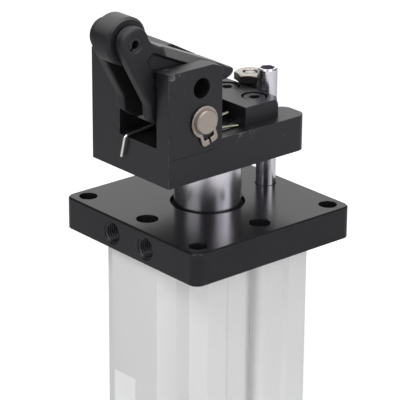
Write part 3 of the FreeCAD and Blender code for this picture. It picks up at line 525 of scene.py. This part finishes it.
def arc(centre, radius, start, end, steps):
    turns = [math.radians(start + (end - start) * step / steps) for step in range(steps + 1)]
    return [(centre[0] + radius * math.cos(turn), centre[1] + radius * math.sin(turn)) for turn in turns]


def snap_ring_outline():
    """Outline of a sprung ring whose two ends turn in below it, on either side of a gap."""
    outer, inner = 9.45, 6.85
    reach, half, corner = 14.3, 5.9, 2.4
    slot, wall, gap, ease = 3.9, 3.4, 0.65, 0.8
    hip = math.degrees(math.acos(half / outer))
    throat = math.degrees(math.acos(slot / inner))
    low = -reach + wall
    right = [(gap, -reach)] + arc((half - corner, -reach + corner), corner, -90, 0, 8)
    left = [(-x, y) for x, y in reversed(right)]
    ring = arc((0, 0), outer, -hip, 180 + hip, 60)
    hole = arc((0, 0), inner, 180 + throat, -throat, 60)
    inside = [(-gap, low), (-slot + ease, low), (-slot, low + ease)] + hole
    inside += [(slot, low + ease), (slot - ease, low), (gap, low)]
    return right + ring + left + inside


def make_snap_rings():
    lean = math.radians(18)
    flat = [(PIN_CENTRE[0] + x * math.cos(lean) - z * math.sin(lean),
             PIN_CENTRE[1] + x * math.sin(lean) + z * math.cos(lean)) for x, z in snap_ring_outline()]
    bm = bmesh.new()
    for near, far in ((-28.5, -27.4), (42.9, 44.0)):
        slab(bm, [(x * MM, near * MM, z * MM) for x, z in flat], 1, far * MM)
    mesh = smoothed(finished_mesh("snap_rings", bm), 40)
    thing = piece("snap_rings", mesh, MATERIALS["nickel_steel"], "head")
    edge = thing.modifiers.new("edge", "BEVEL")
    edge.width = 0.22 * MM
    edge.segments = 2
    edge.limit_method = "ANGLE"
    thing.data = baked(thing)
    thing.modifiers.clear()
    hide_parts("pin_circlips")


def make_nut():
    """A hexagon nut whose chamfer cuts its corners back, open over the stud."""
    low, high = (Vector(corner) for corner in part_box("lock_nut"))
    centre = (low + high) / 2
    half, face, hole, ease = 8.5 * MM, 8.1 * MM, 4.3 * MM, 0.6 * MM
    lean, side, chamfer, steps = math.radians(42), math.radians(60), 0.55, 144
    bm = bmesh.new()
    rings = []
    for step in range(steps):
        turn = 2 * math.pi * step / steps
        flat = half / math.cos((turn - lean - side / 2) % side - side / 2)
        drop = (flat - face) * chamfer
        profile = [(hole, high.z - ease), (hole + ease, high.z), (face, high.z), (flat, high.z - drop),
                   (flat, low.z), (hole, low.z)]
        out = Vector((math.cos(turn), math.sin(turn)))
        rings.append([bm.verts.new((*(centre.xy + out * radius), z)) for radius, z in profile])
    skin(bm, rings + rings[:1])
    mesh = smoothed(finished_mesh("lock_nut_formed", bm))
    thing = piece("lock_nut_formed", mesh, nut_painted_shade("nut_painted_shade"), "head")
    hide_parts("lock_nut")
    return centre


def make_stud_end(centre):
    """The domed end of the stud, just above the solid's own."""
    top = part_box("lock_stud")[1][2] + 0.5 * MM
    profile = [(4.1, -3), (4.1, -0.9), (3.5, 0), (2.4, 0.45), (1.2, 0.62), (0.05, 0.66), (0.05, -3)]
    profile = [(radius * MM, along * MM) for radius, along in profile]
    mesh = smoothed(turned_mesh("stud_end", profile, (centre.x, centre.y, top), (0, 0, 1), 48), 35)
    piece("stud_end", mesh, MATERIALS["zinc_steel"], "head")


def make_label():
    """A bare rounded sheet on the barrel's -X side."""
    width, height, radius, thick = 19.7, 35, 1, 0.12
    outline = []
    for a, b, start in ((1, 1, 0), (-1, 1, 90), (-1, -1, 180), (1, -1, 270)):
        outline += arc(((width / 2 - radius) * a, (height / 2 - radius) * b), radius, start, start + 90, 6)
    bm = bmesh.new()
    slab(bm, [(0, y * MM, z * MM) for y, z in outline], 0, -thick * MM)
    mesh = smoothed(finished_mesh("bare_label", bm))
    mesh.transform(Matrix.Translation(Vector((-BARREL_HALF, 9.0, 40.6)) * MM))
    piece("bare_label", mesh, LABEL_WHITE, "cylinder")


def make_seam_shade():
    """A black strip of painted shade along the joint where the near cheek meets the base, let a hair's
    breadth into the face.
    """
    start, end, z, steps = -51.6, -13.4, 201.7, 24
    half_width, proud, sunk = 0.32, 0.03, 0.4
    bm = bmesh.new()
    rows = []
    for step in range(steps + 1):
        share = step / steps
        half = half_width * min(1, share * 8, (1 - share) * 5 + 0.05)
        x = start + (end - start) * share
        out, back = NEAR_CHEEK - proud, NEAR_CHEEK + sunk
        corners = [(x, out, z + half), (x, out, z - half), (x, back, z - half), (x, back, z + half)]
        rows.append([bm.verts.new(Vector(corner) * MM) for corner in corners])
    skin(bm, rows)
    bm.faces.new(rows[0])
    bm.faces.new(list(reversed(rows[-1])))
    # The strip's black is painted shade for the joint's groove
    piece("cheek_seam_shade", smoothed(finished_mesh("cheek_seam_shade", bm)), SEAM_PAINTED_SHADE, "head")


make_barrel()
make_plate()
make_holder()
make_lever()
make_snap_rings()
make_stud_end(make_nut())
make_label()
make_seam_shade()


# Camera at the photograph's viewing angle
def add_camera():
    back = Vector(CAMERA_BACK).normalized()
    right = Vector((0, 0, 1)).cross(back).normalized()
    up = back.cross(right)
    roll = math.radians(CAMERA_ROLL)
    turned_right = math.cos(roll) * right + math.sin(roll) * up
    turned_up = math.cos(roll) * up - math.sin(roll) * right
    data = bpy.data.cameras.new("camera")
    data.sensor_width = SENSOR_WIDTH
    data.lens = FOCAL_PIXELS * SENSOR_WIDTH / PHOTO_PIXELS
    camera = bpy.data.objects.new("camera", data)
    bpy.context.scene.collection.objects.link(camera)
    turn = Matrix((turned_right, turned_up, back)).transposed()
    camera.matrix_world = Matrix.Translation(Vector(CAMERA_PLACE)) @ turn.to_4x4()
    bpy.context.scene.camera = camera


add_camera()


# Studio
def lamp(name, place, energy, size, target=(0, 0, 0.18)):
    data = bpy.data.lights.new(name, "AREA")
    data.energy = energy
    data.size = size
    thing = bpy.data.objects.new(name, data)
    thing.location = place
    bpy.context.scene.collection.objects.link(thing)
    thing.rotation_euler = (Vector(target) - thing.location).to_track_quat("-Z", "Y").to_euler()
    return thing


lamp("key", (-0.9, -0.35, 1.3), 7.5, 0.5)
lamp("fill", (0.6, -1.2, 0.9), 4.5, 0.7)
front = lamp("front", (-0.85, -0.95, 0.45), 4, 0.6, (0, 0, 0.08))
front.visible_glossy = False


def add_world():
    """The camera sees plain white, metal a room of light panels, and the rest a soft light."""
    world = bpy.data.worlds.new("studio")
    bpy.context.scene.world = world
    world.use_nodes = True
    world.node_tree.nodes.clear()
    w = Tree(world.node_tree)
    path = w.new("ShaderNodeLightPath").outputs
    way = w.new("ShaderNodeSeparateXYZ", {0: w.new("ShaderNodeTexCoord").outputs["Generated"]}).outputs
    share = w.span(w.math("ARCTAN2", way["Y"], way["X"]), -math.pi, math.pi)
    ramp = w.new("ShaderNodeValToRGB", {0: share})
    elements = ramp.color_ramp.elements
    while len(elements) < len(ROOM_STOPS):
        elements.new(0.5)
    for element, (place, level) in zip(elements, ROOM_STOPS):
        element.position = place
        element.color = (level, level, level, 1)
    soft = w.new("ShaderNodeBackground", {"Strength": SOFT_LIGHT}).outputs[0]
    room = w.new("ShaderNodeBackground", {"Color": ramp.outputs[0], "Strength": ROOM_LIGHT}).outputs[0]
    white = w.new("ShaderNodeBackground", {"Color": (1, 1, 1, 1)}).outputs[0]
    lit = w.new("ShaderNodeMixShader", {0: path["Is Glossy Ray"], 1: soft, 2: room}).outputs[0]
    seen = w.math("MAXIMUM", path["Is Camera Ray"], path["Is Transmission Ray"])
    shown = w.new("ShaderNodeMixShader", {0: seen, 1: lit, 2: white}).outputs[0]
    w.new("ShaderNodeOutputWorld", {0: shown})


add_world()


def add_floor():
    mesh = bpy.data.meshes.new("floor")
    corners = [(FLOOR_REACH * a, FLOOR_REACH * b, 0) for a, b in ((-1, -1), (1, -1), (1, 1), (-1, 1))]
    mesh.from_pydata(corners, [], [(0, 1, 2, 3)])
    floor = bpy.data.objects.new("floor", mesh)
    bpy.context.scene.collection.objects.link(floor)
    n = Nodes("pale_floor")
    seen = n.new("ShaderNodeLightPath").outputs["Is Camera Ray"]
    n.set(Base_Color=(0.86, 0.86, 0.86, 1), Roughness=0.9)
    n.set(Emission_Color=(1, 1, 1, 1), Emission_Strength=n.math("MULTIPLY", seen, FLOOR_GLOW))
    mesh.materials.append(n.material)


add_floor()
bpy.context.scene.view_settings.view_transform = "Standard"
